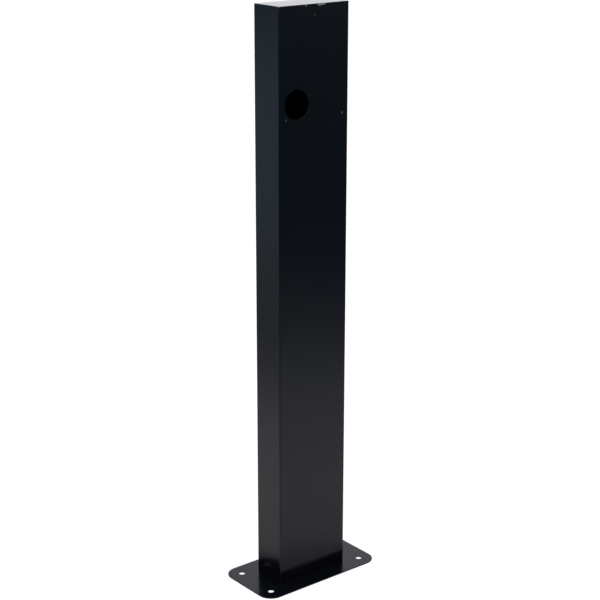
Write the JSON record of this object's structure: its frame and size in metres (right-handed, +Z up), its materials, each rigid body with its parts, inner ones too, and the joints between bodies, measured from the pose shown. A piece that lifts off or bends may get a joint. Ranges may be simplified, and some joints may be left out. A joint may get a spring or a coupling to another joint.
{
  "type": "bollard post",
  "caption": "Tall slim rectangular post of folded black sheet steel on a rounded floor plate, with a round cable hole, threaded device fixings and a screwed rear service cover.",
  "frame": {"origin": "centre of the floor plate's underside", "axes": "+Z up the post, +X along the wide front face, the front face with the cable hole towards -Y"},
  "size_m": [0.3, 0.16, 1.2],
  "materials": {
    "powder_coat": "semi-gloss black powder coat, smooth",
    "zinc_plate": "bright zinc plate",
    "stainless": "plain stainless steel",
    "seal_foam": "closed-cell foam tape",
    "edging_rubber": "matt black rubber"
  },
  "bodies": {
    "post": {"base_plate": "powder_coat", "post_shell": "powder_coat", "top_cap": "powder_coat", "foot_angle_front": "powder_coat", "foot_angle_rear": "powder_coat", "foot_angle_left": "powder_coat", "foot_angle_right": "powder_coat", "fixing_insert_top": "zinc_plate", "fixing_insert_left": "zinc_plate", "fixing_insert_right": "zinc_plate", "cover_rivet_nuts": "zinc_plate", "cover_seal_left": "seal_foam", "cover_seal_right": "seal_foam", "cover_seal_top": "seal_foam", "cover_seal_bottom": "seal_foam", "cable_bar_lower": "powder_coat", "cable_bar_upper": "powder_coat", "cable_entry_trim": "edging_rubber", "earth_stud": "zinc_plate", "earth_washer": "zinc_plate", "earth_nut": "zinc_plate"},
    "cover": {"rear_cover": "powder_coat", "cover_screws": "stainless", "cover_washers": "stainless"}
  },
  "joints": [
    {"name": "cover_pull_off", "type": "slide", "parent": "post", "child": "cover", "axis": [0, 1, 0], "range_m": [0, 0.25]}
  ]
}
